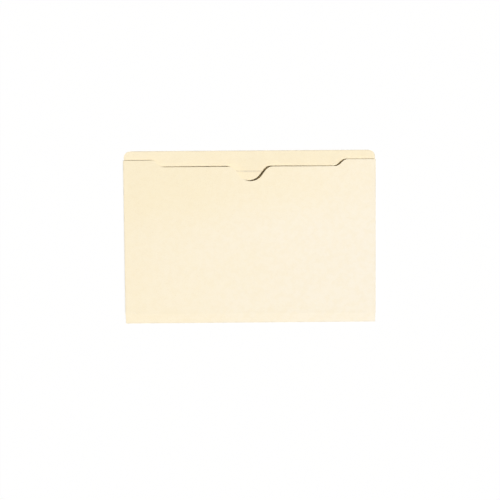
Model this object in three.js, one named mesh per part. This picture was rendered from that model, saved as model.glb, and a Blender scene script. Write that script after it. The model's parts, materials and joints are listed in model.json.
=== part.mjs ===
// A legal size manila file jacket with a straight cut, reinforced tab and a 1 inch expansion.
// It lies on its back: +X to the right, +Y towards the tab, +Z up through the front panel.
// The sheet is die cut in one piece and folded. Here it is parted along its folds and scores, and each
// of those is a bead of card between the two sheets that it joins. All lengths are in millimetres.
import * as THREE from "three";

// Card and glue
const STOCK = 0.28; // 11 point card
const GLUE_FILM = 0.06;
const FOLD_AIR = 0.1; // air left between two layers that are folded flat
const FOLD_GAP = 0.25; // between the bead of a fold and the edges of the sheets that it joins

// Jacket
const JACKET_WIDTH = 374.65; // over the side folds
const JACKET_HEIGHT = 257.2; // bottom fold to top of tab, pressed flat
const BACK_INSET = 0.5; // each side edge of the back panel, inside the front panel's side fold
const GUSSET_WIDTH = 12.7; // half of the expansion: side folds to gusset crease
const REST_FOLD = THREE.MathUtils.degToRad(8.5); // how far the gussets have sprung open

// Tab, at the top of the back panel
const TAB_CORNER_RADIUS = 9.5;
const PLY_DEPTH = 31.3; // of the tab's front ply, from the top fold
const PLY_RELIEF = 1; // between the front ply and the ends of the glue flaps
const PLY_RELIEF_RADIUS = 3;
const TAB_GLUE_MARGIN = 2;

// Front panel's top edge, measured down from the top of the tab
const SIDE_LEVEL_DROP = 14;
const CENTRE_LEVEL_DROP = 24.2;
const STEP_FROM_SIDE = 50.8; // side fold to the middle of each step
const STEP_RADIUS = 12;
const NOTCH_DEPTH = 21.4;
const NOTCH_RADIUS = 20.6;
const NOTCH_SHOULDER_RADIUS = 12;
const NOTCH_SLOPE = THREE.MathUtils.degToRad(53.5);

// Gussets, glue flaps and bottom strips
const FLAP_WIDTH = 16;
const FLAP_END_CHAMFER = 4;
const FLAP_GLUE_MARGIN = 2;
const GUSSET_END_TAPER = 6; // by which the crease is shorter than the folds, at each end
const GUSSET_FOOT_GAP = 1.5; // between the bottom scores and the gussets
const BOTTOM_END_INSET = 0.5;

const BEAD_SIDES = 12;
const ARC_SEGMENTS = 8;

// Two folded layers lie this far either side of the line that they turn about
const layerOffset = (STOCK + FOLD_AIR) / 2;
const beadRadius = layerOffset + STOCK / 2;
const sheetSetback = beadRadius + FOLD_GAP;

// Heights over the table
const plyLevel = STOCK + GLUE_FILM;
const rearFoldHeight = plyLevel + STOCK / 2 + layerOffset;
const lift = 2 * GUSSET_WIDTH * Math.sin(REST_FOLD) + 4 * layerOffset * Math.cos(REST_FOLD);
const frontFoldHeight = rearFoldHeight + lift;
const frontLevel = frontFoldHeight + layerOffset - STOCK / 2;

// The bottom opens outwards, so its strips are a little wider and steeper for the same lift
const bottomStripWidth = Math.hypot(GUSSET_WIDTH, Math.sqrt(3) * layerOffset);
const bottomRestFold =
  REST_FOLD + Math.atan2(2 * layerOffset, GUSSET_WIDTH) - Math.atan2(layerOffset, bottomStripWidth);
const bottomReach =
  bottomStripWidth * Math.cos(bottomRestFold) - layerOffset * Math.sin(bottomRestFold) + beadRadius;

// Places across and along the jacket, from its middle and from its bottom scores
const foldX = JACKET_WIDTH / 2 - beadRadius;
const sheetEdgeX = foldX - sheetSetback;
const backEdgeX = JACKET_WIDTH / 2 - BACK_INSET;
const flapInnerX = foldX - FLAP_WIDTH;
const tabTopY = JACKET_HEIGHT - GUSSET_WIDTH - beadRadius;
const sideLevelY = tabTopY - SIDE_LEVEL_DROP;
const centreLevelY = tabTopY - CENTRE_LEVEL_DROP;
const notchBottomY = centreLevelY - NOTCH_DEPTH;
const plyBottomY = tabTopY - PLY_DEPTH;
const tabFoldRadius = STOCK + GLUE_FILM / 2;
const tabFoldY = tabTopY - tabFoldRadius;
const sheetEndTaper = (GUSSET_END_TAPER * (GUSSET_WIDTH - 2 * sheetSetback)) / GUSSET_WIDTH;
const middleY = (tabTopY - bottomReach) / 2;

const manila = (shade) =>
  new THREE.MeshStandardMaterial({ color: new THREE.Color(shade), roughness: 0.85, metalness: 0 });

const cardFace = manila("#f0dcae");
const cardFold = manila("#e6cf9b");
const glue = new THREE.MeshStandardMaterial({ color: "#d9c48f", roughness: 0.5, metalness: 0 });

// A closed outline through corners [x, y, radius], each rounded by an arc of its radius
function roundedOutline(corners) {
  const shape = new THREE.Shape();
  corners.forEach(([x, y, radius = 0], i) => {
    const corner = new THREE.Vector2(x, y);
    if (radius === 0) {
      if (i === 0) shape.moveTo(x, y);
      else shape.lineTo(x, y);
      return;
    }
    const before = corners.at(i - 1);
    const after = corners[(i + 1) % corners.length];
    const come = new THREE.Vector2(x - before[0], y - before[1]).normalize();
    const go = new THREE.Vector2(after[0] - x, after[1] - y).normalize();
    const turn = Math.atan2(come.cross(go), come.dot(go));
    const start = corner.clone().addScaledVector(come, -radius * Math.tan(Math.abs(turn) / 2));
    const side = Math.sign(turn);
    const centre = start.clone().add(new THREE.Vector2(-come.y, come.x).multiplyScalar(side * radius));
    const from = Math.atan2(start.y - centre.y, start.x - centre.x);
    if (i === 0) shape.moveTo(start.x, start.y);
    else shape.lineTo(start.x, start.y);
    shape.absarc(centre.x, centre.y, radius, from, from + turn, turn < 0);
  });
  shape.closePath();
  return shape;
}

// A corner list for a half outline on the right, with its mirror image on the left
const mirrored = (corners) => [
  ...corners,
  ...corners
    .filter(([x]) => x !== 0)
    .map(([x, y, radius]) => [-x, y, radius])
    .reverse(),
];

function sheet(name, outline, thickness, level, material) {
  const geometry = new THREE.ExtrudeGeometry(outline, {
    depth: thickness,
    bevelEnabled: false,
    curveSegments: ARC_SEGMENTS,
  });
  const mesh = new THREE.Mesh(geometry, material);
  mesh.name = name;
  mesh.position.z = level;
  return mesh;
}

function beadAlongX(name, length) {
  const geometry = new THREE.CylinderGeometry(beadRadius, beadRadius, length, BEAD_SIDES);
  geometry.rotateZ(Math.PI / 2);
  const mesh = new THREE.Mesh(geometry, cardFold);
  mesh.name = name;
  return mesh;
}

function beadAlongY(name, from, to) {
  const geometry = new THREE.CylinderGeometry(beadRadius, beadRadius, to - from, BEAD_SIDES);
  geometry.translate(0, (from + to) / 2, 0);
  const mesh = new THREE.Mesh(geometry, cardFold);
  mesh.name = name;
  return mesh;
}

function backPanel() {
  const outline = roundedOutline([
    [-backEdgeX, -beadRadius],
    [backEdgeX, -beadRadius],
    [backEdgeX, tabFoldY, TAB_CORNER_RADIUS],
    [-backEdgeX, tabFoldY, TAB_CORNER_RADIUS],
  ]);
  return sheet("back_panel", outline, STOCK, 0, cardFace);
}

// The ply is full width down to the glue flaps' ends, and below them it passes between the flaps
function tabPlyOutline(margin) {
  const wideX = backEdgeX - margin;
  const narrowX = flapInnerX - PLY_RELIEF - margin;
  const shoulderY = sideLevelY + PLY_RELIEF + margin;
  return roundedOutline(
    mirrored([
      [narrowX, plyBottomY + margin, PLY_RELIEF_RADIUS],
      [narrowX, shoulderY, PLY_RELIEF_RADIUS],
      [wideX, shoulderY],
      [wideX, tabFoldY - margin, Math.max(TAB_CORNER_RADIUS - margin, margin)],
    ]),
  );
}

function tabTopFold() {
  const half = new THREE.Shape();
  half.absarc(0, 0, tabFoldRadius, 0, Math.PI, false);
  half.closePath();
  const length = 2 * (backEdgeX - TAB_CORNER_RADIUS);
  const geometry = new THREE.ExtrudeGeometry(half, {
    depth: length,
    bevelEnabled: false,
    curveSegments: BEAD_SIDES / 2,
  });
  geometry.rotateY(Math.PI / 2);
  geometry.translate(-length / 2, 0, 0);
  const mesh = new THREE.Mesh(geometry, cardFold);
  mesh.name = "tab_top_fold";
  mesh.position.set(0, tabFoldY, tabFoldRadius);
  return mesh;
}

function tab() {
  const group = new THREE.Group();
  group.add(
    sheet("tab_front_ply", tabPlyOutline(0), STOCK, plyLevel, cardFace),
    sheet("tab_glue", tabPlyOutline(TAB_GLUE_MARGIN), GLUE_FILM, STOCK, glue),
    tabTopFold(),
  );
  return group;
}

// The front edge steps down from the side level to the centre level, with the thumb notch in its middle
function frontPanel() {
  const stepX = JACKET_WIDTH / 2 - STEP_FROM_SIDE;
  const halfStep = (sideLevelY - centreLevelY) / 2;
  const apexY = notchBottomY - NOTCH_RADIUS * (1 / Math.cos(NOTCH_SLOPE) - 1);
  const notchX = (centreLevelY - apexY) / Math.tan(NOTCH_SLOPE);
  const outline = roundedOutline(
    mirrored([
      [sheetEdgeX, sheetSetback],
      [sheetEdgeX, sideLevelY],
      [stepX + halfStep, sideLevelY, STEP_RADIUS],
      [stepX - halfStep, centreLevelY, STEP_RADIUS],
      [notchX, centreLevelY, NOTCH_SHOULDER_RADIUS],
      [0, apexY, NOTCH_RADIUS],
    ]),
  );
  return sheet("front_panel", outline, STOCK, frontLevel, cardFace);
}

// One gusset half in its own frame: it turns about x = 0, reaches towards the given side, and both its
// ends taper towards the crease, which is its far line or its near one
function gussetHalf(name, towards, creaseIsFar) {
  const near = towards * sheetSetback;
  const far = towards * (GUSSET_WIDTH - sheetSetback);
  const nearTaper = creaseIsFar ? 0 : sheetEndTaper;
  const farTaper = creaseIsFar ? sheetEndTaper : 0;
  const outline = roundedOutline([
    [near, GUSSET_FOOT_GAP + nearTaper],
    [far, GUSSET_FOOT_GAP + farTaper],
    [far, sideLevelY - farTaper],
    [near, sideLevelY - nearTaper],
  ]);
  return sheet(name, outline, STOCK, layerOffset - STOCK / 2, cardFace);
}

// Glue flap, then the two gusset halves, which fold inwards in a V; side is -1 on the left, 1 on the right
function gusset(label, side) {
  const group = new THREE.Group();

  const flapOutline = (margin) =>
    roundedOutline([
      [side * (sheetEdgeX - margin), GUSSET_FOOT_GAP + margin],
      [side * (sheetEdgeX - margin), sideLevelY - margin],
      [side * (flapInnerX + margin), sideLevelY - FLAP_END_CHAMFER - margin],
      [side * (flapInnerX + margin), GUSSET_FOOT_GAP + FLAP_END_CHAMFER + margin],
    ]);
  group.add(
    sheet(`${label}_glue_flap`, flapOutline(0), STOCK, plyLevel, cardFace),
    sheet(`${label}_flap_glue`, flapOutline(FLAP_GLUE_MARGIN), GLUE_FILM, STOCK, glue),
  );

  const rearFold = beadAlongY(`${label}_rear_fold`, GUSSET_FOOT_GAP, sideLevelY);
  rearFold.position.set(side * foldX, 0, rearFoldHeight);
  group.add(rearFold);

  const rear = new THREE.Group();
  rear.position.copy(rearFold.position);
  rear.rotation.y = side * REST_FOLD;
  rear.add(gussetHalf(`${label}_gusset_rear`, -side, true));

  const crease = beadAlongY(
    `${label}_gusset_crease`,
    GUSSET_FOOT_GAP + GUSSET_END_TAPER,
    sideLevelY - GUSSET_END_TAPER,
  );
  crease.position.set(-side * GUSSET_WIDTH, 0, 2 * layerOffset);
  rear.add(crease);

  const front = new THREE.Group();
  front.position.copy(crease.position);
  front.rotation.y = -2 * side * REST_FOLD;
  front.add(gussetHalf(`${label}_gusset_front`, side, false));
  rear.add(front);
  group.add(rear);

  const frontFold = beadAlongY(`${label}_front_fold`, sheetSetback, sideLevelY);
  frontFold.position.set(side * foldX, 0, frontFoldHeight);
  group.add(frontFold);
  return group;
}

// The bottom's two strips fold outwards in a V, between the rear score and the front score
function bottom() {
  const group = new THREE.Group();
  const halfLength = JACKET_WIDTH / 2 - BOTTOM_END_INSET;
  const strip = (name, towards, level) => {
    const near = towards * sheetSetback;
    const far = towards * (bottomStripWidth - sheetSetback);
    const outline = roundedOutline([
      [-halfLength, near],
      [halfLength, near],
      [halfLength, far],
      [-halfLength, far],
    ]);
    return sheet(name, outline, STOCK, level - STOCK / 2, cardFace);
  };

  const rearScore = beadAlongX("bottom_rear_score", 2 * halfLength);
  rearScore.position.z = rearFoldHeight;
  group.add(rearScore);

  const rear = new THREE.Group();
  rear.position.copy(rearScore.position);
  rear.rotation.x = -bottomRestFold;
  rear.add(strip("bottom_rear_strip", -1, 0));

  const fold = beadAlongX("bottom_fold", 2 * halfLength);
  fold.position.set(0, -bottomStripWidth, layerOffset);
  rear.add(fold);

  const front = new THREE.Group();
  front.position.copy(fold.position);
  front.rotation.x = 2 * bottomRestFold;
  front.add(strip("bottom_front_strip", 1, layerOffset));
  rear.add(front);
  group.add(rear);

  const frontScore = beadAlongX("bottom_front_score", 2 * halfLength);
  frontScore.position.z = frontFoldHeight;
  group.add(frontScore);
  return group;
}

const jacket = new THREE.Group();
jacket.name = "file_jacket";
jacket.position.y = -middleY;
jacket.add(backPanel(), tab(), gusset("left", -1), gusset("right", 1), bottom(), frontPanel());

export default jacket;
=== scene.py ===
import json
import math

import bmesh
import bpy
from bpy.props import FloatProperty, FloatVectorProperty, IntProperty, PointerProperty
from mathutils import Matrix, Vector


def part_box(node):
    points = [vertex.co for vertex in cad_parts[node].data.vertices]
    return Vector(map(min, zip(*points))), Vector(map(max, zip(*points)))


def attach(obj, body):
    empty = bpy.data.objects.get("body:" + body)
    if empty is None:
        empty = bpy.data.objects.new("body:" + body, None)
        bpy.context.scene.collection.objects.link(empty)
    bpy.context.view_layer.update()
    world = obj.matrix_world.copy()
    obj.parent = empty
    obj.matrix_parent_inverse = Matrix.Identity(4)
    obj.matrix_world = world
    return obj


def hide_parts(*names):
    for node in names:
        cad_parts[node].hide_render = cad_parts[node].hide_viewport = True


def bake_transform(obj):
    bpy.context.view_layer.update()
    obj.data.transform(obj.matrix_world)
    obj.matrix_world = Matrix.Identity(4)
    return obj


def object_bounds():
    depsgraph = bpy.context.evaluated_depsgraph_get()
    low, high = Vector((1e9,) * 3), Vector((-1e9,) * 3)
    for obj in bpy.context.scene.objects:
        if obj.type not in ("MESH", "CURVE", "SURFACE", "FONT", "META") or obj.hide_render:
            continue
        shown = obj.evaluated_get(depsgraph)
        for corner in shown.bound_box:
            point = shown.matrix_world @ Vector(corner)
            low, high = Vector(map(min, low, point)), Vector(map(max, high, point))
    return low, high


bl_info = {
    "name": "File Jacket",
    "version": (1, 0, 0),
    "blender": (4, 5, 0),
    "location": "3D View > Sidebar > File Jacket",
    "description": "Builds a manila file jacket, die cut and folded from one sheet of card",
    "category": "Add Mesh",
}

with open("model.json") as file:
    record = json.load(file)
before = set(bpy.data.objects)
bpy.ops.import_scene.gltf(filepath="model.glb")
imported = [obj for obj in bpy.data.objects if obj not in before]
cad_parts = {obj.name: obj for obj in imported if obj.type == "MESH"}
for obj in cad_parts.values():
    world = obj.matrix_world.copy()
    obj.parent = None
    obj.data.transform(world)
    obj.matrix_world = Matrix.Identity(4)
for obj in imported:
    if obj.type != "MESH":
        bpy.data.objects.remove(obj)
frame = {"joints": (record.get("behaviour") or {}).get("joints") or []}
cad_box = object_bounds()
MM = 0.001
SCORE_ROUND = 1.45 * MM  # from a score to where the back sheet is flat again
FRONT_SCORE_ROUND = 1.1 * MM
SCORE_REACH = 2 * MM  # finely divided stretch, to each side of a score
FRONT_SCORE_REACH = 2.4 * MM
SCORE_ROWS = 0.2 * MM
STRIP_ROWS = 1.5 * MM
CURL_ROWS = 2 * MM
GUSSET_COLUMNS = 1.6 * MM
FLAP_COLUMNS = 3 * MM
FLAP_CORNER_RADIUS = 0.8 * MM
TAB_FOLD_TAPER = 3 * MM
TAB_FOLD_END = 0.6  # how thick the tab's fold is at its ends, as a share of its middle
BOW_ARCH = 1.3  # power that narrows the bow towards the middle of the mouth
FIBRE_SIZE = (0.19 * MM, 1.9 * MM, 1.1 * MM)
BACK_HELD_FADE = 28 * MM  # over which the waves grow, from where the card is held
FRONT_HELD_FADE = 36 * MM
WELD = 1e-7  # metres
FINE_ARC = math.radians(4)
SHARP = math.radians(35)

joints = {joint["name"]: joint for joint in frame["joints"]}
rear_score = Vector(joints["rear_score_turn"]["pos_m"])
bottom_fold = Vector(joints["expand"]["pos_m"])
front_score = Vector(joints["front_score_turn"]["pos_m"])
rear_fold = Vector(joints["right_rear_fold_turn"]["pos_m"])
crease = Vector(joints["right_crease_turn"]["pos_m"])
front_fold = Vector((rear_fold.x, 0, front_score.z))
back_low, back_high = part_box("back_panel")
front_low, front_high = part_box("front_panel")
ply_low, ply_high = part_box("tab_front_ply")
flap_low, flap_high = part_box("right_glue_flap")
tab_glue_low, tab_glue_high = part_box("tab_glue")
flap_glue_low, flap_glue_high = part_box("right_flap_glue")
tab_fold_low, tab_fold_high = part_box("tab_top_fold")
crease_low, crease_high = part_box("right_gusset_crease")
front_fold_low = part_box("right_front_fold")[0]


# Sizes and colours


class JacketCard(bpy.types.PropertyGroup):
    """The sheet of card that the jacket is cut from."""

    stock: FloatProperty(
        name="Stock", description="Thickness of the card",
        default=0.28 * MM, min=0.1 * MM, precision=6, unit="LENGTH",
    )
    glue_film: FloatProperty(
        name="Glue film", description="Thickness of the dried glue between two layers",
        default=0.06 * MM, precision=6, unit="LENGTH",
    )
    cell: FloatProperty(
        name="Cell", description="Spacing of the lines that each sheet is divided by",
        default=4 * MM, min=1 * MM, precision=4, unit="LENGTH",
    )
    wave_height: FloatProperty(
        name="Wave height", description="How far a free stretch of card lifts and falls",
        default=0.35 * MM, precision=5, unit="LENGTH",
    )
    wave_length: FloatProperty(
        name="Wave length", description="Distance from one swell of the card to the next",
        default=85 * MM, precision=4, unit="LENGTH",
    )
    mouth_bow: FloatProperty(
        name="Mouth bow", description="Rise of the front panel's top edge in the middle of the mouth",
        default=4.4 * MM, precision=5, unit="LENGTH",
    )
    bow_start: FloatProperty(
        name="Bow start", description="Height up the front panel where the bow starts",
        default=-90 * MM, precision=4, unit="LENGTH",
    )
    tab_curl_left: FloatProperty(
        name="Tab curl, left", description="Rise of the tab's top edge at its left end",
        default=1.1 * MM, precision=5, unit="LENGTH",
    )
    tab_curl_right: FloatProperty(
        name="Tab curl, right", description="Rise of the tab's top edge at its right end",
        default=0.3 * MM, precision=5, unit="LENGTH",
    )
    curl_start: FloatProperty(
        name="Curl start", description="Height up the back panel where the tab's curl starts",
        default=112 * MM, precision=4, unit="LENGTH",
    )
    fold_unevenness: FloatProperty(
        name="Fold unevenness", description="How far the pressed edge of a fold strays from a true round",
        default=0.012 * MM, precision=6, unit="LENGTH",
    )


class JacketOutline(bpy.types.PropertyGroup):
    """What the cutting die gives the sheet."""

    tab_corner_radius: FloatProperty(
        name="Tab corner radius", description="Rounding of the tab's top corners",
        default=9.5 * MM, precision=4, unit="LENGTH",
    )
    centre_level_drop: FloatProperty(
        name="Centre level drop", description="Height of the step in the front panel's top edge",
        default=10.2 * MM, precision=4, unit="LENGTH",
    )
    step_from_side: FloatProperty(
        name="Step from side", description="Distance from the side fold to the middle of the step",
        default=51.2 * MM, precision=4, unit="LENGTH",
    )
    step_radius: FloatProperty(
        name="Step radius", description="Radius of both bends of the step",
        default=12 * MM, precision=4, unit="LENGTH",
    )
    notch_depth: FloatProperty(
        name="Notch depth", description="Depth of the thumb notch under the centre level",
        default=21.4 * MM, precision=4, unit="LENGTH",
    )
    notch_radius: FloatProperty(
        name="Notch radius", description="Radius of the thumb notch's round bottom",
        default=20.6 * MM, precision=4, unit="LENGTH",
    )
    notch_shoulder_radius: FloatProperty(
        name="Notch shoulder radius",
        description="Radius where the thumb notch's flanks meet the centre level",
        default=14 * MM, precision=4, unit="LENGTH",
    )
    notch_offset: FloatProperty(
        name="Notch offset",
        description="How far the die cut of the thumb notch sits to the right of the middle",
        default=1.5 * MM, precision=4, unit="LENGTH",
    )
    notch_slope: FloatProperty(
        name="Notch slope", description="Slope of the thumb notch's flanks",
        default=math.radians(53.5), subtype="ANGLE",
    )
    ply_corner_radius: FloatProperty(
        name="Ply corner radius",
        description="Rounding of the tab ply's lower corners and of its relief at the glue flaps",
        default=3 * MM, precision=4, unit="LENGTH",
    )
    ply_relief: FloatProperty(
        name="Ply relief", description="Clearance between the tab's front ply and the glue flaps",
        default=1 * MM, precision=4, unit="LENGTH",
    )
    glue_margin: FloatProperty(
        name="Glue margin", description="How far each glue film stays inside the layer over it",
        default=2 * MM, precision=4, unit="LENGTH",
    )
    flap_end_chamfer: FloatProperty(
        name="Flap end chamfer", description="How much shorter the glue flap's free edge is, at each end",
        default=4 * MM, precision=4, unit="LENGTH",
    )


class JacketFinish(bpy.types.PropertyGroup):
    """The colours of the card and glue."""

    card: FloatVectorProperty(
        name="Card", description="Colour of the card where it has stayed palest",
        default=(0.953, 0.884, 0.746), min=0, max=1, subtype="COLOR",
    )
    # Deeper tone of the card from mellowing, also used for the painted light that deepens the card to the
    # upper left and the painted shade along the bottom.
    mellowed: FloatVectorProperty(
        name="Mellowed card", description="Colour of the card where light and handling have mellowed it",
        default=(0.953, 0.852, 0.628), min=0, max=1, subtype="COLOR",
    )
    # The cut edge is a little darker than the card's faces: painted shade.
    cut_edge: FloatVectorProperty(
        name="Cut edge", description="Colour of the fibres that a cut lays bare",
        default=(0.9, 0.83, 0.69), min=0, max=1, subtype="COLOR",
    )
    worn_fold: FloatVectorProperty(
        name="Worn fold", description="Colour of the fibres that break open along a fold",
        default=(0.93, 0.88, 0.76), min=0, max=1, subtype="COLOR",
    )
    fleck: FloatVectorProperty(
        name="Fleck", description="Colour of the darker fibres in the pulp",
        default=(0.6, 0.44, 0.25), min=0, max=1, subtype="COLOR",
    )
    # Also painted as shade: the grey rim along the sides and top, the line along the ply's lower edge and the
    # greying of the tab's fold.
    handling: FloatVectorProperty(
        name="Handling", description="Tone that fingers and soaked-in glue leave on the card",
        default=(0.48, 0.41, 0.32), min=0, max=1, subtype="COLOR",
    )
    glue: FloatVectorProperty(
        name="Glue", description="Colour of the dried glue",
        default=(0.72, 0.6, 0.36), min=0, max=1, subtype="COLOR",
    )


class JacketStage(bpy.types.PropertyGroup):
    """Floor, light and camera."""

    floor: FloatVectorProperty(
        name="Floor", description="Colour of the floor",
        default=(0.97, 0.97, 0.97), min=0, max=1, subtype="COLOR",
    )
    floor_white: FloatProperty(
        name="Floor white", description="Share of plain white in what the camera sees of the floor",
        default=0.86, min=0, max=1, subtype="FACTOR",
    )
    key_strength: FloatProperty(
        name="Key strength", description="Strength of the key light",
        default=3.1, min=0,
    )
    key_spread: FloatProperty(
        name="Key spread", description="Angle that the key light fills, which softens its shadows",
        default=math.radians(4), subtype="ANGLE",
    )
    key_tilt: FloatProperty(
        name="Key tilt", description="Angle of the key light from straight overhead",
        default=math.radians(20.5), subtype="ANGLE",
    )
    key_heading: FloatProperty(
        name="Key heading", description="Direction that the key light comes from, turned from +X",
        default=math.radians(-29), subtype="ANGLE",
    )
    surroundings: FloatProperty(
        name="Surroundings", description="Strength of the even light from all round",
        default=0.107, min=0,
    )
    surroundings_tone: FloatVectorProperty(
        name="Surroundings tone",
        description="Tone of the even light from all round, which warms the shadows",
        default=(1.0, 0.89, 0.75), min=0, max=1, subtype="COLOR",
    )
    lens: FloatProperty(
        name="Lens", description="Focal length of the camera",
        default=57.6, unit="CAMERA",
    )
    camera_place: FloatVectorProperty(
        name="Camera place", description="Where the camera stands",
        default=(-0.0087, 0.04312, 1.19646), precision=5, subtype="TRANSLATION",
    )
    camera_turn: FloatVectorProperty(
        name="Camera turn", description="How the camera is turned from looking straight down",
        default=(math.radians(-3.001), math.radians(-0.425), math.radians(-0.424)), subtype="EULER",
    )
    seed: IntProperty(
        name="Seed", description="Seed of the card's waves and of the folds' unevenness",
        default=7, min=0,
    )


# Nodes


def wire(tree, kind, inputs=None, **settings):
    """Adds a node with its options, fills its inputs with values or other outputs, and gives its outputs."""
    node = tree.nodes.new(kind)
    for option, value in settings.items():
        setattr(node, option, value)
    for key, value in (inputs or {}).items():
        socket = node.inputs[key]
        if isinstance(value, bpy.types.NodeSocket):
            tree.links.new(value, socket)
        else:
            socket.default_value = value
    return node.outputs


def calc(tree, operation, a, b=None, c=None):
    given = {i: value for i, value in enumerate((a, b, c)) if value is not None}
    return wire(tree, "ShaderNodeMath", given, operation=operation)[0]


def product(tree, first, *others):
    """All the given values, multiplied."""
    for other in others:
        first = calc(tree, "MULTIPLY", first, other)
    return first


def noise(tree, place, scale, detail=2.0, **inputs):
    """Cloudy noise from 0 to 1. Other inputs go by their sockets' names. W picks one of many noises."""
    given = {"Vector": place, "Scale": scale, "Detail": detail, **inputs}
    dimensions = "4D" if "W" in inputs else "3D"
    return wire(tree, "ShaderNodeTexNoise", given, noise_dimensions=dimensions)["Fac"]


def mix(tree, share, first, second):
    """A colour that goes from the first to the second with share."""
    return wire(tree, "ShaderNodeMix", {0: share, 6: first, 7: second}, data_type="RGBA")[2]


def along_axes(tree, place):
    return wire(tree, "ShaderNodeSeparateXYZ", {0: place})


def ranged(tree, value, start, end, low=0.0, high=1.0, **settings):
    """Runs from low to high as value goes from start to end."""
    span = {"Value": value, "From Min": start, "From Max": end, "To Min": low, "To Max": high}
    return wire(tree, "ShaderNodeMapRange", span, **settings)[0]


def ease(tree, value, start, end, low=0.0, high=1.0):
    """As ranged, but starting and ending gently."""
    return ranged(tree, value, start, end, low, high, interpolation_type="SMOOTHSTEP")


def seen_directly(tree):
    """1 where the camera sees something itself or in a gloss, 0 where light only bounces off it."""
    rays = wire(tree, "ShaderNodeLightPath")
    seen = calc(tree, "MAXIMUM", rays["Is Camera Ray"], rays["Is Glossy Ray"])
    return calc(tree, "MAXIMUM", seen, rays["Is Transmission Ray"])


def made_once(store):
    """For a maker that takes a name: what it made is found in its store from then on."""

    def wrap(make):
        def get(name=make.__name__, **options):
            return getattr(bpy.data, store).get(name) or make(name, **options)

        return get

    return wrap


def moved(tree, geometry, offset):
    return wire(tree, "GeometryNodeSetPosition", {"Geometry": geometry, "Offset": offset})[0]


def along_normal(tree, distance):
    normal = wire(tree, "GeometryNodeInputNormal")[0]
    return wire(tree, "ShaderNodeVectorMath", {0: normal, "Scale": distance}, operation="SCALE")[0]


def finished(tree, geometry, material):
    """Smooth, real geometry in its material, which is how each tree ends."""
    smooth = wire(tree, "GeometryNodeSetShadeSmooth", {"Geometry": geometry, "Shade Smooth": True})[0]
    real = wire(tree, "GeometryNodeRealizeInstances", {0: smooth})[0]
    return wire(tree, "GeometryNodeSetMaterial", {"Geometry": real, "Material": material})[0]


def new_group(name, inputs, outputs):
    """An empty geometry tree with named sockets, given as (name, type, default)."""
    tree = bpy.data.node_groups.new(name, "GeometryNodeTree")
    for label, socket_type, *default in inputs:
        socket = tree.interface.new_socket(label, in_out="INPUT", socket_type=socket_type)
        if default:
            socket.default_value = default[0]
    for label, socket_type in outputs:
        tree.interface.new_socket(label, in_out="OUTPUT", socket_type=socket_type)
    return tree, tree.nodes.new("NodeGroupInput").outputs, tree.nodes.new("NodeGroupOutput").inputs


FLEX_DEFAULTS = {
    "Wave Height": 0.0,
    "Wave Length": 0.08,
    "Wave Seed": 0.0,
    "Held Side": 0.18,
    "Held Bottom": -0.11,
    "Held Fade": 0.03,
    "Bow Height": 0.0,
    "Bow Start": 0.0,
    "Bow End": 0.1,
    "Curl Left": 0.0,
    "Curl Right": 0.0,
    "Curl Start": 0.1,
    "Curl End": 0.12,
}
FLEX_INPUTS = [(label, "NodeSocketFloat", value) for label, value in FLEX_DEFAULTS.items()]


@made_once("node_groups")
def card_flex(name):
    """How card that lies free departs from flat: slow waves, the bow of the mouth and the curl of the tab.
    Layers that lie on each other take the same inputs, so they flex together."""
    tree, given, result = new_group(name, FLEX_INPUTS, [("Offset", "NodeSocketVector")])
    across, up, _ = along_axes(tree, wire(tree, "GeometryNodeInputPosition")[0])
    out = calc(tree, "ABSOLUTE", across)

    plan = wire(tree, "ShaderNodeCombineXYZ", {0: across, 1: up})[0]
    frequency = calc(tree, "DIVIDE", 1.0, given["Wave Length"])
    wave = noise(tree, plan, frequency, 1.0, Roughness=0.35, W=given["Wave Seed"])
    inside = calc(tree, "SUBTRACT", given["Held Side"], out)
    above = calc(tree, "SUBTRACT", up, given["Held Bottom"])
    free_side = ease(tree, inside, 0.0, given["Held Fade"])
    free_bottom = ease(tree, above, 0.0, given["Held Fade"])
    free = product(tree, free_side, free_bottom)
    lifted = product(tree, wave, given["Wave Height"], free)

    share = calc(tree, "MINIMUM", calc(tree, "DIVIDE", out, given["Held Side"]), 1.0)
    hollow = calc(tree, "SUBTRACT", 1.0, product(tree, share, share))
    arch = calc(tree, "POWER", hollow, BOW_ARCH)
    rise = ease(tree, up, given["Bow Start"], given["Bow End"])
    bowed = product(tree, arch, rise, given["Bow Height"])

    side = ranged(tree, across, -rear_fold.x, rear_fold.x, given["Curl Left"], given["Curl Right"])
    roll = ranged(tree, up, given["Curl Start"], given["Curl End"])
    curled = product(tree, roll, roll, side)

    height = calc(tree, "ADD", calc(tree, "ADD", lifted, bowed), curled)
    offset = wire(tree, "ShaderNodeCombineXYZ", {2: height})[0]
    tree.links.new(offset, result["Offset"])
    return tree


def flexed(tree, given, geometry):
    """The geometry, moved by the flex that the tree's own inputs describe."""
    node = tree.nodes.new("GeometryNodeGroup")
    node.node_tree = card_flex()
    for label in FLEX_DEFAULTS:
        tree.links.new(given[label], node.inputs[label])
    return moved(tree, geometry, node.outputs["Offset"])


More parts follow.
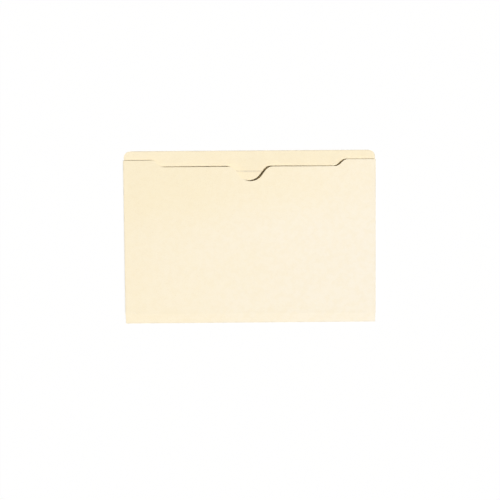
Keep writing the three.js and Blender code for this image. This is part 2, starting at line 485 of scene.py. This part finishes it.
@made_once("node_groups")
def card_sheet(name):
    """Turns the middle surface of a flat sheet into flexed card of its real thickness, with cut edges."""
    tree, given, result = new_group(
        name,
        [
            ("Geometry", "NodeSocketGeometry"),
            ("Thickness", "NodeSocketFloat", 0.0003),
            ("Face Material", "NodeSocketMaterial"),
            ("Edge Material", "NodeSocketMaterial"),
            *FLEX_INPUTS,
        ],
        [("Geometry", "NodeSocketGeometry")],
    )
    sheet = flexed(tree, given, given["Geometry"])
    under = moved(tree, sheet, along_normal(tree, product(tree, given["Thickness"], -0.5)))
    raised = wire(
        tree,
        "GeometryNodeExtrudeMesh",
        {"Mesh": under, "Offset Scale": given["Thickness"], "Individual": False},
        mode="FACES",
    )
    marked = wire(
        tree,
        "GeometryNodeStoreNamedAttribute",
        {"Geometry": raised["Mesh"], "Name": "cut_edge", "Value": raised["Side"]},
        data_type="BOOLEAN",
        domain="FACE",
    )[0]
    base = wire(tree, "GeometryNodeFlipFaces", {0: under})[0]
    both = tree.nodes.new("GeometryNodeJoinGeometry")
    tree.links.new(marked, both.inputs[0])
    tree.links.new(base, both.inputs[0])
    closed = wire(
        tree, "GeometryNodeMergeByDistance", {"Geometry": both.outputs[0], "Distance": 0.001 * MM}
    )[0]
    faces = finished(tree, closed, given["Face Material"])
    cut = wire(
        tree, "GeometryNodeInputNamedAttribute", {"Name": "cut_edge"}, data_type="BOOLEAN"
    )["Attribute"]
    edges = wire(
        tree,
        "GeometryNodeSetMaterial",
        {"Geometry": faces, "Selection": cut, "Material": given["Edge Material"]},
    )[0]
    tree.links.new(edges, result["Geometry"])
    return tree


@made_once("node_groups")
def folded_edge(name):
    """The round of card along a fold: a bead that follows the fold's line, pressed a little unevenly."""
    tree, given, result = new_group(
        name,
        [
            ("Start", "NodeSocketVector"),
            ("End", "NodeSocketVector"),
            ("Radius", "NodeSocketFloat", 0.0003),
            ("Rings", "NodeSocketInt", 60),
            ("Sides", "NodeSocketInt", 24),
            ("Unevenness", "NodeSocketFloat", 0.0),
            ("Seed", "NodeSocketFloat", 0.0),
            ("Taper", "NodeSocketFloat", 0.0),
            ("End Radius", "NodeSocketFloat", 0.0003),
            ("Material", "NodeSocketMaterial"),
            *FLEX_INPUTS,
        ],
        [("Geometry", "NodeSocketGeometry")],
    )
    line = wire(tree, "GeometryNodeCurvePrimitiveLine", {"Start": given["Start"], "End": given["End"]})[0]
    path = wire(tree, "GeometryNodeResampleCurve", {"Curve": line, "Count": given["Rings"]})[0]
    round_profile = wire(
        tree, "GeometryNodeCurvePrimitiveCircle", {"Resolution": given["Sides"], "Radius": 1.0}
    )[0]
    along = wire(tree, "GeometryNodeSplineParameter")
    reach = wire(tree, "GeometryNodeSplineLength")["Length"]
    to_end = calc(tree, "MINIMUM", along["Length"], calc(tree, "SUBTRACT", reach, along["Length"]))
    width = ease(tree, to_end, 0.0, given["Taper"], given["End Radius"], given["Radius"])
    bead = wire(
        tree,
        "GeometryNodeCurveToMesh",
        {"Curve": path, "Profile Curve": round_profile, "Scale": width, "Fill Caps": True},
    )[0]
    place = wire(tree, "GeometryNodeInputPosition")[0]
    stray = noise(tree, place, 140.0, W=given["Seed"])
    uneven = moved(tree, bead, along_normal(tree, product(tree, stray, given["Unevenness"], -1.0)))
    dressed = finished(tree, flexed(tree, given, uneven), given["Material"])
    tree.links.new(dressed, result["Geometry"])
    return tree


def evaluated(name, mesh, tree, inputs):
    """Runs a mesh through a node tree, whose inputs are given by name, and returns the plain object."""
    piece = bpy.data.objects.new(name, mesh)
    bpy.context.scene.collection.objects.link(piece)
    modifier = piece.modifiers.new(tree.name, "NODES")
    modifier.node_group = tree
    identifiers = {
        item.name: item.identifier
        for item in tree.interface.items_tree
        if item.item_type == "SOCKET" and item.in_out == "INPUT"
    }
    for label, value in inputs.items():
        modifier[identifiers[label]] = value
    bpy.context.view_layer.update()
    depsgraph = bpy.context.evaluated_depsgraph_get()
    made = bpy.data.meshes.new_from_object(
        piece.evaluated_get(depsgraph), preserve_all_data_layers=True, depsgraph=depsgraph
    )
    piece.modifiers.clear()
    piece.data = made
    made.name = name
    if len(made.materials) > 1 and made.materials[0] is None:
        made.materials.pop(index=0)
    if not made.polygons:
        raise RuntimeError(f"{name} has no faces")
    made.set_sharp_from_angle(angle=SHARP)
    return piece


# Cutting the sheet


def rounded_outline(corners, step=math.radians(7)):
    """A closed line through corners (x, y, radius), each rounded by an arc of its radius."""
    points = []
    for i, (x, y, radius) in enumerate(corners):
        corner = Vector((x, y))
        if radius <= 0:
            points.append(corner)
            continue
        come = (corner - Vector(corners[i - 1][:2])).normalized()
        go = (Vector(corners[(i + 1) % len(corners)][:2]) - corner).normalized()
        turn = math.atan2(come.x * go.y - come.y * go.x, come.dot(go))
        start = corner - come * radius * math.tan(abs(turn) / 2)
        centre = start + Vector((-come.y, come.x)) * math.copysign(radius, turn)
        spoke = start - centre
        count = max(2, math.ceil(abs(turn) / step))
        for k in range(count + 1):
            a = turn * k / count
            c, s = math.cos(a), math.sin(a)
            points.append(centre + Vector((spoke.x * c - spoke.y * s, spoke.x * s + spoke.y * c)))
    return points


def mirrored(corners):
    """A half outline on the right, then its mirror image on the left."""
    return corners + [(-x, y, radius) for x, y, radius in reversed(corners) if x != 0]


def spaced(low, high, spacing):
    """Evenly spaced lines between two limits, which aren't among them."""
    count = max(1, round((high - low) / spacing))
    return [low + (high - low) * k / count for k in range(1, count)]


def divided(start, *stretches):
    """Lines through stretches in a row, given as (end, spacing), without the first and the last line."""
    lines = []
    for end, spacing in stretches:
        lines += spaced(start, end, spacing) + [end]
        start = end
    return lines[:-1]


def flat_at(level):
    return lambda x, y: Vector((x, y, level))


def cut_sheet(name, outline, columns, rows, lay):
    """Cuts a flat sheet to its outline and divides it along columns and rows.
    lay gives each flat point (x, y) its place in space."""
    bm = bmesh.new()
    corners = []
    for point in outline:
        if not corners or (point - corners[-1].co.xy).length > WELD:
            corners.append(bm.verts.new((point.x, point.y, 0)))
    if (corners[0].co - corners[-1].co).length <= WELD:
        bm.verts.remove(corners.pop())
    bm.faces.new(corners).normal_update()
    for axis, lines in ((0, columns), (1, rows)):
        direction = Vector((axis == 0, axis == 1, 0))
        for line in lines:
            bmesh.ops.bisect_plane(
                bm,
                geom=bm.verts[:] + bm.edges[:] + bm.faces[:],
                dist=WELD,
                plane_co=direction * line,
                plane_no=direction,
            )
    bmesh.ops.remove_doubles(bm, verts=bm.verts[:], dist=WELD)
    if sum(face.normal.z * face.calc_area() for face in bm.faces) < 0:
        bmesh.ops.reverse_faces(bm, faces=bm.faces[:])
    for vert in bm.verts:
        vert.co = lay(vert.co.x, vert.co.y)
    bm.normal_update()
    mesh = bpy.data.meshes.new(name)
    bm.to_mesh(mesh)
    bm.free()
    return mesh


# Finishes


def tone_drift(tree, place, finish, exposed):
    """The card's colour: cloudy pulp and random patches, with painted light that deepens it towards the upper
    left and pales it towards the lower right, and painted shade deeper towards the bottom edge.
    What of the back sheet shows over the front panel is exposed, and takes the deeper tone all along."""
    across, up, _ = along_axes(tree, place)
    patches = product(tree, noise(tree, place, 11.0), 0.3)
    # Painted light: the tone deepens to the left and upwards, away from the key light at the lower right.
    drift = calc(tree, "SUBTRACT", patches, product(tree, across, 1.65))
    drift = calc(tree, "ADD", drift, ease(tree, up, -10 * MM, 90 * MM, 0.235, 0.585))
    share = ease(tree, drift, 0.0, 1.0)
    if exposed:
        share = calc(tree, "MAXIMUM", share, ease(tree, up, 62 * MM, 82 * MM))
    tone = mix(tree, share, rgba(finish.card), rgba(finish.mellowed))
    clouds = noise(tree, place, 120.0, 4.0, Roughness=0.6)
    depth = ease(tree, clouds, 0.36, 0.66, 0.0, 0.19)
    # Painted shade: deeper towards the bottom edge, offsetting the light on the bottom strip, which tilts
    # towards the key light.
    depth = calc(tree, "ADD", depth, ease(tree, up, -98 * MM, -118 * MM, 0.0, 0.07))
    return mix(tree, depth, tone, rgba(finish.mellowed, (0.95, 0.92, 0.84)))


def fibre_mask(tree, place, angle, seed, low, high):
    """Short fibres lying in one direction, as a mask."""
    turned = wire(
        tree,
        "ShaderNodeMapping",
        {"Vector": place, "Rotation": (0, 0, math.radians(angle)), "Scale": FIBRE_SIZE},
        vector_type="TEXTURE",
    )[0]
    return ease(tree, noise(tree, turned, 1.0, 1.0, Distortion=0.6, W=seed), low, high)


def rubbed_rim(tree, place, colour, finish):
    """A thin, broken grey rim painted along the jacket's sides and top: painted shade where the card turns
    over at its edges.
    """
    across, up, _ = along_axes(tree, place)
    side, end = (
        ease(tree, calc(tree, "ABSOLUTE", value), edge - 2.2 * MM, edge + 0.3 * MM)
        for value, edge in ((across, front_fold.x), (up, back_high.y))
    )
    breaks = ease(tree, noise(tree, place, 75.0, 4.0), 0.35, 0.68, 0.03, 0.2)
    # Painted shade along the sides and top, broken up by noise.
    rim_shade = product(tree, calc(tree, "MAXIMUM", side, end), breaks)
    return mix(tree, rim_shade, colour, rgba(finish.handling))


def glue_line(tree, place, colour, finish):
    """Painted shade: a faint darker line along the ply's lower edge, where it lies over the back panel."""
    up = along_axes(tree, place)[1]
    off = calc(tree, "ABSOLUTE", calc(tree, "SUBTRACT", up, ply_low.y + 0.6 * MM))
    line = ease(tree, off, 0.5 * MM, 2 * MM, 1.0, 0.0)
    blots = ease(tree, noise(tree, place, 190.0), 0.3, 0.7, 0.17, 0.36)
    return mix(tree, product(tree, line, blots), colour, rgba(finish.handling))


def emptied(block):
    """The node tree of a new material or world, with nothing in it."""
    block.use_nodes = True
    block.node_tree.nodes.clear()
    return block.node_tree


def close_tree(tree, kind, result):
    tree.links.new(result, tree.nodes.new(kind).inputs[0])


def new_finish(name):
    material = bpy.data.materials.new(name)
    tree = emptied(material)
    return material, tree, wire(tree, "ShaderNodeTexCoord")["Object"]


def close_finish(tree, colour, roughness, height, bump_depth, specular):
    """Ends a finish in its shader, with the height field as fine bump."""
    bump = wire(tree, "ShaderNodeBump", {"Strength": 1.0, "Distance": bump_depth, "Height": height})[0]
    shader = wire(
        tree,
        "ShaderNodeBsdfPrincipled",
        {"Base Color": colour, "Roughness": roughness, "Specular IOR Level": specular, "Normal": bump},
    )[0]
    close_tree(tree, "ShaderNodeOutputMaterial", shader)


def rgba(colour, factors=(1, 1, 1)):
    """A colour for a socket, with each of its parts times its factor, up to 1."""
    return (*(min(1, part * factor) for part, factor in zip(colour, factors)), 1.0)


@made_once("materials")
def plain_card(name, worn=0.0, exposed=False, handled_and_shaded=0.0):
    """Uncoated manila card: cloudy pulp, scattered fibres and a fine tooth.
    worn opens the fibres of a fold; the handling share greys the card in patches, as fingers do, and on the
    tab's fold as painted shade."""
    finish = bpy.context.scene.jacket_finish
    material, tree, place = new_finish(name)
    colour = tone_drift(tree, place, finish, exposed)
    dark = 0.0
    for angle, seed in ((18, 1.0), (77, 4.0), (131, 9.0)):
        dark = calc(tree, "MAXIMUM", dark, fibre_mask(tree, place, angle, seed, 0.655, 0.74))
    colour = mix(tree, product(tree, dark, 0.36), colour, rgba(finish.fleck))
    pale = fibre_mask(tree, place, 48, 14.0, 0.58, 0.7)
    colour = mix(tree, product(tree, pale, 0.4), colour, rgba(finish.worn_fold))
    # Painted shade along the sides and top.
    colour = rubbed_rim(tree, place, colour, finish)
    if exposed:
        # Painted shade along the ply's lower edge.
        colour = glue_line(tree, place, colour, finish)
    tooth = noise(tree, place, 3400.0, 3.0, Roughness=0.65)
    height = calc(tree, "ADD", tooth, product(tree, noise(tree, place, 420.0), 1.6))
    height = calc(tree, "ADD", height, product(tree, pale, 0.5))
    if worn:
        cracks = noise(tree, place, 1500.0, 4.0, Roughness=0.7)
        colour = mix(tree, ease(tree, cracks, 0.5, 0.66, 0.0, worn), colour, rgba(finish.worn_fold))
        height = calc(tree, "ADD", height, product(tree, cracks, 1.5))
    if handled_and_shaded:
        # Grey patches: finger marks, and on the tab's fold painted shade where its top turns from the key
        # light.
        grey = ease(tree, noise(tree, place, 26.0, 3.0), 0.35, 0.6, 0.4 * handled_and_shaded, handled_and_shaded)
        colour = mix(tree, grey, colour, rgba(finish.handling))
    roughness = ease(tree, tooth, 0.25, 0.75, 0.95, 0.84)
    close_finish(tree, colour, roughness, height, 0.032 * MM, 0.28)
    return material


def exposed_card():
    return plain_card("exposed_card", exposed=True, handled_and_shaded=0.03)


@made_once("materials")
def cut_card(name):
    """The cut edge of card, a little darker than the faces as painted shade, with its fibres lying in thin
    layers.
    """
    finish = bpy.context.scene.jacket_finish
    material, tree, place = new_finish(name)
    flat = wire(tree, "ShaderNodeMapping", {"Vector": place, "Scale": (900, 900, 16000)})[0]
    layers = noise(tree, flat, 1.0, 3.0, Roughness=0.6)
    nap = noise(tree, place, 2600.0, 3.0)
    dark = rgba(finish.cut_edge, (0.9, 0.87, 0.78))
    colour = mix(tree, ease(tree, layers, 0.35, 0.65), dark, rgba(finish.cut_edge))
    height = calc(tree, "ADD", layers, nap)
    roughness = ease(tree, nap, 0.3, 0.7, 0.96, 0.88)
    close_finish(tree, colour, roughness, height, 0.02 * MM, 0.2)
    return material


@made_once("materials")
def dried_glue(name):
    """A thin film of dried glue, brushed out in streaks."""
    finish = bpy.context.scene.jacket_finish
    material, tree, place = new_finish(name)
    drawn = wire(tree, "ShaderNodeMapping", {"Vector": place, "Scale": (120, 900, 900)})[0]
    streaks = noise(tree, drawn, 1.0, 3.0, Distortion=0.8)
    pale = rgba(finish.glue, (1.16, 1.16, 1.16))
    colour = mix(tree, ease(tree, streaks, 0.35, 0.65), rgba(finish.glue), pale)
    roughness = ease(tree, streaks, 0.3, 0.7, 0.34, 0.52)
    close_finish(tree, colour, roughness, streaks, 0.02 * MM, 0.45)
    return material


# Shared shapes


def fold_offset():
    """How far the middle of a folded layer lies from the line that it turns about."""
    return front_fold.z - middle_level(front_low, front_high)


def bead_radius():
    return abs(fold_offset()) + bpy.context.scene.jacket_card.stock / 2


def strip_end(score):
    """Where the bottom strip beside a score ends, at the bottom fold, and how it slopes."""
    offset = abs(fold_offset())
    run = score - bottom_fold
    strip = math.sqrt(math.hypot(run.y, run.z) ** 2 - offset**2)
    slope = math.atan2(abs(run.z), run.y) - math.atan2(offset, strip)
    return score.y - strip * math.cos(slope), slope


def middle_level(low, high):
    return (low.z + high.z) / 2


def waves(held_side, held_bottom, fade, seed_step=0.0):
    """The slow waves of a sheet that is held at its sides and bottom."""
    card, stage = bpy.context.scene.jacket_card, bpy.context.scene.jacket_stage
    return {
        "Wave Height": card.wave_height,
        "Wave Length": card.wave_length,
        "Wave Seed": stage.seed + seed_step,
        "Held Side": held_side,
        "Held Bottom": held_bottom,
        "Held Fade": fade,
    }


def lying_flex():
    """The flex that all layers of the back and its tab share."""
    card = bpy.context.scene.jacket_card
    return {
        **waves(flap_low.x, back_low.y, BACK_HELD_FADE),
        "Curl Left": card.tab_curl_left,
        "Curl Right": card.tab_curl_right,
        "Curl Start": card.curl_start,
        "Curl End": back_high.y,
    }


def sheet_piece(name, mesh, thickness, face, edge, flex, nodes, body=None):
    """A finished piece of card from its middle surface, which stands for the given CAD nodes."""
    inputs = {"Thickness": thickness, "Face Material": face, "Edge Material": edge, **flex}
    piece = evaluated(name, mesh, card_sheet(), inputs)
    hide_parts(*nodes)
    if body:
        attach(piece, body)
    return piece


def fold_piece(
    name, start, end, radius, body, node, flex=None, taper=0.0, end_radius=None, seed=0.0, finish=None
):
    """The round of card along one fold."""
    card = bpy.context.scene.jacket_card
    rings = max(12, round((end - start).length / card.cell) + 1)
    inputs = {
        "Start": start,
        "End": end,
        "Radius": radius,
        "Rings": rings,
        "Unevenness": card.fold_unevenness,
        "Seed": seed,
        "Taper": taper,
        "End Radius": radius if end_radius is None else end_radius,
        "Material": finish or plain_card("creased_card", worn=0.5),
        **(flex or {}),
    }
    piece = evaluated(name, bpy.data.meshes.new(name), folded_edge(), inputs)
    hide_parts(node)
    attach(piece, body)
    return piece


def smooth(t):
    t = min(1.0, max(0.0, t))
    return t * t * (3 - 2 * t)


# Operators


class JACKET_OT_back_sheet(bpy.types.Operator):
    """Cut the back panel in one with the rear half of the bottom, which turns up at its score"""

    bl_idname = "jacket.back_sheet"
    bl_label = "Back sheet"

    def execute(self, context):
        card, shape = context.scene.jacket_card, context.scene.jacket_outline
        half = back_high.x
        end_y, slope = strip_end(rear_score)
        level = middle_level(back_low, back_high)
        rise_from, rise_to = rear_score.y + SCORE_ROUND, rear_score.y - SCORE_ROUND
        rise_top = rear_score.z + (rear_score.y - rise_to) * math.tan(slope)

        def lay(x, y):
            if y >= rise_from:
                z = level
            elif y <= rise_to:
                z = rear_score.z + (rear_score.y - y) * math.tan(slope)
            else:
                span = rise_from - rise_to
                t = (rise_from - y) / span
                z = level + (rise_top - level) * smooth(t) + math.tan(slope) * span * (t**3 - t**2)
            return Vector((x, y, z))

        top = [(x, back_high.y, shape.tab_corner_radius) for x in (half, -half)]
        outline = rounded_outline([(-half, end_y, 0), (half, end_y, 0), *top])
        rows = divided(
            end_y,
            (rear_score.y - SCORE_REACH, STRIP_ROWS),
            (rear_score.y + SCORE_REACH, SCORE_ROWS),
            (card.curl_start, card.cell),
            (back_high.y, CURL_ROWS),
        )
        mesh = cut_sheet("back_sheet", outline, spaced(-half, half, card.cell), rows, lay)
        nodes = ["back_panel", "bottom_rear_strip", "bottom_rear_score"]
        back = sheet_piece(
            "back_sheet", mesh, card.stock, exposed_card(), cut_card(), lying_flex(), nodes
        )
        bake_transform(back)
        return {"FINISHED"}


class JACKET_OT_tab(bpy.types.Operator):
    """Fold the tab's front ply down inside the mouth and glue it to the back"""

    bl_idname = "jacket.tab"
    bl_label = "Tab"

    def ply_outline(self, shape, margin):
        wide = back_high.x - margin
        narrow = flap_low.x - shape.ply_relief - margin
        shoulder = flap_high.y + shape.ply_relief + margin
        corners = [
            (narrow, ply_low.y + margin, shape.ply_corner_radius),
            (narrow, shoulder, shape.ply_corner_radius),
            (wide, shoulder, 0),
            (wide, ply_high.y - margin, shape.tab_corner_radius - margin),
        ]
        return rounded_outline(mirrored(corners))

    def execute(self, context):
        card, shape = context.scene.jacket_card, context.scene.jacket_outline
        face, edge = exposed_card(), cut_card()
        half = back_high.x
        columns = spaced(-half, half, card.cell)
        rows = divided(ply_low.y, (card.curl_start, card.cell), (ply_high.y, CURL_ROWS))
        flex = lying_flex()

        outline = self.ply_outline(shape, 0)
        mesh = cut_sheet("tab_ply", outline, columns, rows, flat_at(middle_level(ply_low, ply_high)))
        sheet_piece("tab_ply", mesh, card.stock, face, edge, flex, ["tab_front_ply"], "back")

        outline = self.ply_outline(shape, shape.glue_margin)
        glue_level = middle_level(tab_glue_low, tab_glue_high)
        mesh = cut_sheet("tab_glue_film", outline, columns, rows, flat_at(glue_level))
        glue = dried_glue()
        sheet_piece(
            "tab_glue_film", mesh, card.glue_film, glue, glue, flex, ["tab_glue"], "back"
        )

        radius = (tab_fold_high.z - tab_fold_low.z) / 2
        right_end = Vector((tab_fold_high.x, back_high.y, middle_level(tab_fold_low, tab_fold_high)))
        # The tab's fold is greyed as painted shade, where its top turns away from the key light.
        finish = plain_card("handled_fold", worn=0.35, exposed=True, handled_and_shaded=0.5)
        fold_piece(
            "tab_fold", right_end * Vector((-1, 1, 1)), right_end, radius, "back", "tab_top_fold",
            flex=flex, taper=TAB_FOLD_TAPER, end_radius=radius * TAB_FOLD_END, seed=1.0, finish=finish,
        )
        return {"FINISHED"}


class JACKET_OT_front_sheet(bpy.types.Operator):
    """Cut the front panel, with its stepped edge and thumb notch, in one with the front half of the bottom"""

    bl_idname = "jacket.front_sheet"
    bl_label = "Front sheet"

    def execute(self, context):
        card, shape = context.scene.jacket_card, context.scene.jacket_outline
        half = front_fold.x
        bottom_half = back_high.x
        end_y, slope = strip_end(front_score)
        level = middle_level(front_low, front_high)
        kink_y = front_score.y + (level - front_score.z) / math.tan(slope)
        bend_y = FRONT_SCORE_ROUND

        def lay(x, y):
            d = kink_y - y
            if d <= -bend_y:
                drop = 0.0
            elif d >= bend_y:
                drop = d * math.tan(slope)
            else:
                drop = math.tan(slope) * (d + bend_y) ** 2 / (4 * bend_y)
            narrowed = 1 - (1 - bottom_half / half) * smooth((kink_y + bend_y - y) / bend_y)
            return Vector((x * narrowed, y, level - drop))

        side_level = front_high.y
        centre_level = side_level - shape.centre_level_drop
        notch_bottom = centre_level - shape.notch_depth
        apex = notch_bottom - shape.notch_radius * (1 / math.cos(shape.notch_slope) - 1)
        shoulder = (centre_level - apex) / math.tan(shape.notch_slope)
        step = cad_box[1].x - shape.step_from_side
        half_step = shape.centre_level_drop / 2
        right = [
            (half, end_y, 0),
            (half, side_level, 0),
            (step + half_step, side_level, shape.step_radius),
            (step - half_step, centre_level, shape.step_radius),
        ]
        left = [(-x, y, radius) for x, y, radius in reversed(right)]
        notch = [(shoulder, centre_level, shape.notch_shoulder_radius), (0, apex, shape.notch_radius)]
        notch = [(x + shape.notch_offset, y, radius) for x, y, radius in mirrored(notch)]
        outline = rounded_outline(right + notch + left, step=FINE_ARC)
        rows = divided(
            end_y,
            (front_score.y - SCORE_REACH, STRIP_ROWS),
            (front_score.y + FRONT_SCORE_REACH, SCORE_ROWS),
            (side_level, card.cell),
        )
        mesh = cut_sheet("front_sheet", outline, spaced(-half, half, card.cell), rows, lay)
        flex = {
            **waves(half, kink_y, FRONT_HELD_FADE, seed_step=5.0),
            "Bow Height": card.mouth_bow,
            "Bow Start": card.bow_start,
            "Bow End": side_level,
        }
        nodes = ["front_panel", "bottom_front_strip", "bottom_front_score"]
        front = sheet_piece(
            "front_sheet", mesh, card.stock, plain_card(), cut_card(), flex, nodes
        )
        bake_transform(front)
        return {"FINISHED"}


class JACKET_OT_bottom_fold(bpy.types.Operator):
    """Fold the bottom's two halves outwards along the jacket's bottom edge"""

    bl_idname = "jacket.bottom_fold"
    bl_label = "Bottom fold"

    def execute(self, context):
        reach = Vector((back_high.x, 0, 0))
        ends = bottom_fold - reach, bottom_fold + reach
        fold_piece("bottom_edge_fold", *ends, bead_radius(), "bottom_rear", "bottom_fold", seed=2.0)
        return {"FINISHED"}


class JACKET_OT_gussets(bpy.types.Operator):
    """Fold each side gusset inwards in a V, from its glue flap to the front panel's side fold"""

    bl_idname = "jacket.gussets"
    bl_label = "Gussets"

    def leaf(self, card, label, half, side, hinge, towards, near_taper, far_taper):
        """The rear or front half of a gusset, which runs from its hinge line to the next one."""
        low, high = flap_low.y, flap_high.y
        offset = abs(fold_offset())
        run = Vector((rear_fold.x - crease.x, crease.z - rear_fold.z))
        width = math.sqrt(math.hypot(run.x, run.y) ** 2 - (2 * offset) ** 2)
        tilt = math.atan2(run.y, run.x) - math.atan2(2 * offset, width)
        along = Vector((towards * math.cos(tilt), 0, math.sin(tilt)))
        up = Vector((-towards * math.sin(tilt), 0, math.cos(tilt)))

        def lay(s, y):
            place = Vector((hinge.x, 0, hinge.z)) + along * s + up * offset
            return Vector((side * place.x, y, place.z))

        lower = [(0, low + near_taper, 0), (width, low + far_taper, 0)]
        upper = [(width, high - far_taper, 0), (0, high - near_taper, 0)]
        outline = rounded_outline(lower + upper)
        name = f"{label}_gusset_{half}_leaf"
        mesh = cut_sheet(name, outline, spaced(0, width, GUSSET_COLUMNS), spaced(low, high, card.cell), lay)
        if side * towards < 0:
            mesh.flip_normals()
        nodes, body = [f"{label}_gusset_{half}"], f"{label}_{half}_half"
        sheet_piece(name, mesh, card.stock, plain_card(), cut_card(), {}, nodes, body)

    def flap(self, card, shape, label, side, kind):
        """The glue flap on the back panel, or the glue film under it."""
        low, high = flap_low.y, flap_high.y
        outer, inner = rear_fold.x, flap_low.x
        if kind == "flap":
            margin, reach, level = 0, outer, middle_level(flap_low, flap_high)
            thickness, face, edge = card.stock, plain_card(), cut_card()
            slot, node = "manila_card", f"{label}_glue_flap"
        else:
            margin, reach = shape.glue_margin, flap_glue_high.x
            level = middle_level(flap_glue_low, flap_glue_high)
            thickness, face, edge = card.glue_film, dried_glue(), dried_glue()
            slot, node = "glue_film", f"{label}_flap_glue"
        cut = shape.flap_end_chamfer + margin
        outline = rounded_outline(
            [
                (side * reach, low + margin, 0),
                (side * reach, high - margin, 0),
                (side * (inner + margin), high - cut, FLAP_CORNER_RADIUS),
                (side * (inner + margin), low + cut, FLAP_CORNER_RADIUS),
            ]
        )
        name = f"{label}_{kind}"
        columns = spaced(*sorted((side * inner, side * outer)), FLAP_COLUMNS)
        mesh = cut_sheet(name, outline, columns, spaced(low, high, card.cell), flat_at(level))
        sheet_piece(name, mesh, thickness, face, edge, {}, [node], "back")

    def execute(self, context):
        card, shape = context.scene.jacket_card, context.scene.jacket_outline
        low, high = flap_low.y, flap_high.y
        taper = crease_low.y - low
        for label, side, seed in (("left", -1, 3.0), ("right", 1, 6.0)):
            self.leaf(card, label, "rear", side, rear_fold, -1, 0, taper)
            self.leaf(card, label, "front", side, crease, 1, taper, 0)
            for name, line, start, end, body, node in (
                ("rear_edge_fold", rear_fold, low, high, "back", "rear_fold"),
                ("inner_crease", crease, crease_low.y, crease_high.y, f"{label}_rear_half", "gusset_crease"),
                ("front_edge_fold", front_fold, front_fold_low.y, high, "front", "front_fold"),
            ):
                seed += 0.7
                ends = (Vector((side * line.x, y, line.z)) for y in (start, end))
                fold_piece(f"{label}_{name}", *ends, bead_radius(), body, f"{label}_{node}", seed=seed)
            for kind in ("flap", "flap_glue_film"):
                self.flap(card, shape, label, side, kind)
        return {"FINISHED"}


class JACKET_OT_stage(bpy.types.Operator):
    """Lay out the pale floor, the soft light and the camera over the jacket"""

    bl_idname = "jacket.stage"
    bl_label = "Stage"

    def floor(self, stage):
        mesh = bpy.data.meshes.new("floor")
        reach, under = 4.0, -0.1 * MM
        mesh.from_pydata(
            [(-reach, -reach, under), (reach, -reach, under), (reach, reach, under), (-reach, reach, under)],
            [],
            [(0, 1, 2, 3)],
        )
        material = bpy.data.materials.new("pale_floor")
        tree = emptied(material)
        matte = wire(tree, "ShaderNodeBsdfDiffuse", {"Color": rgba(stage.floor)})[0]
        white = wire(tree, "ShaderNodeEmission", {"Color": (1, 1, 1, 1), "Strength": 1.0})[0]
        seen = product(tree, seen_directly(tree), stage.floor_white)
        mixed = wire(tree, "ShaderNodeMixShader", {0: seen, 1: matte, 2: white})[0]
        close_tree(tree, "ShaderNodeOutputMaterial", mixed)
        mesh.materials.append(material)
        floor = bpy.data.objects.new("floor", mesh)
        bpy.context.scene.collection.objects.link(floor)

    def light(self, stage):
        sun = bpy.data.lights.new("key", "SUN")
        sun.energy = stage.key_strength
        sun.angle = stage.key_spread
        key = bpy.data.objects.new("key", sun)
        bpy.context.scene.collection.objects.link(key)
        heading, tilt = stage.key_heading, stage.key_tilt
        towards = Vector(
            (math.sin(tilt) * math.cos(heading), math.sin(tilt) * math.sin(heading), math.cos(tilt))
        )
        key.rotation_euler = towards.to_track_quat("Z", "Y").to_euler()

        world = bpy.data.worlds.new("surroundings")
        tree = emptied(world)
        light = {"Color": rgba(stage.surroundings_tone), "Strength": stage.surroundings}
        soft = wire(tree, "ShaderNodeBackground", light)[0]
        white = wire(tree, "ShaderNodeBackground", {"Color": (1, 1, 1, 1), "Strength": 1.0})[0]
        mixed = wire(tree, "ShaderNodeMixShader", {0: seen_directly(tree), 1: soft, 2: white})[0]
        close_tree(tree, "ShaderNodeOutputWorld", mixed)
        bpy.context.scene.world = world

    def camera(self, stage):
        lens = bpy.data.cameras.new("camera")
        lens.lens = stage.lens
        lens.sensor_width = 36
        camera = bpy.data.objects.new("camera", lens)
        bpy.context.scene.collection.objects.link(camera)
        camera.location = stage.camera_place
        camera.rotation_euler = stage.camera_turn
        bpy.context.scene.camera = camera

    def execute(self, context):
        stage = context.scene.jacket_stage
        self.floor(stage)
        self.light(stage)
        self.camera(stage)
        context.scene.view_settings.view_transform = "Standard"
        return {"FINISHED"}


class JACKET_PT_sidebar(bpy.types.Panel):
    """Lists the jacket's pieces, sizes and colours"""

    bl_idname = "JACKET_PT_sidebar"
    bl_label = "File Jacket"
    bl_space_type = "VIEW_3D"
    bl_region_type = "UI"
    bl_category = "File Jacket"

    def draw(self, context):
        layout = self.layout
        for step in STEPS:
            layout.operator(step.bl_idname)
        for store in STORES:
            box = layout.box()
            group = getattr(context.scene, store)
            for name in group.bl_rna.properties.keys():
                if name not in {"rna_type", "name"}:
                    box.prop(group, name)


STORES = {
    "jacket_card": JacketCard,
    "jacket_outline": JacketOutline,
    "jacket_finish": JacketFinish,
    "jacket_stage": JacketStage,
}
STEPS = (
    JACKET_OT_back_sheet,
    JACKET_OT_tab,
    JACKET_OT_gussets,
    JACKET_OT_bottom_fold,
    JACKET_OT_front_sheet,
    JACKET_OT_stage,
)


def register():
    for kind in (*STORES.values(), *STEPS, JACKET_PT_sidebar):
        bpy.utils.register_class(kind)
    for name, group in STORES.items():
        setattr(bpy.types.Scene, name, PointerProperty(type=group))


def unregister():
    for name in STORES:
        delattr(bpy.types.Scene, name)
    for kind in reversed((*STORES.values(), *STEPS, JACKET_PT_sidebar)):
        bpy.utils.unregister_class(kind)


def main():
    register()
    for step in (
        bpy.ops.jacket.back_sheet,
        bpy.ops.jacket.tab,
        bpy.ops.jacket.gussets,
        bpy.ops.jacket.bottom_fold,
        bpy.ops.jacket.front_sheet,
        bpy.ops.jacket.stage,
    ):
        step()


if __name__ == "__main__":
    main()
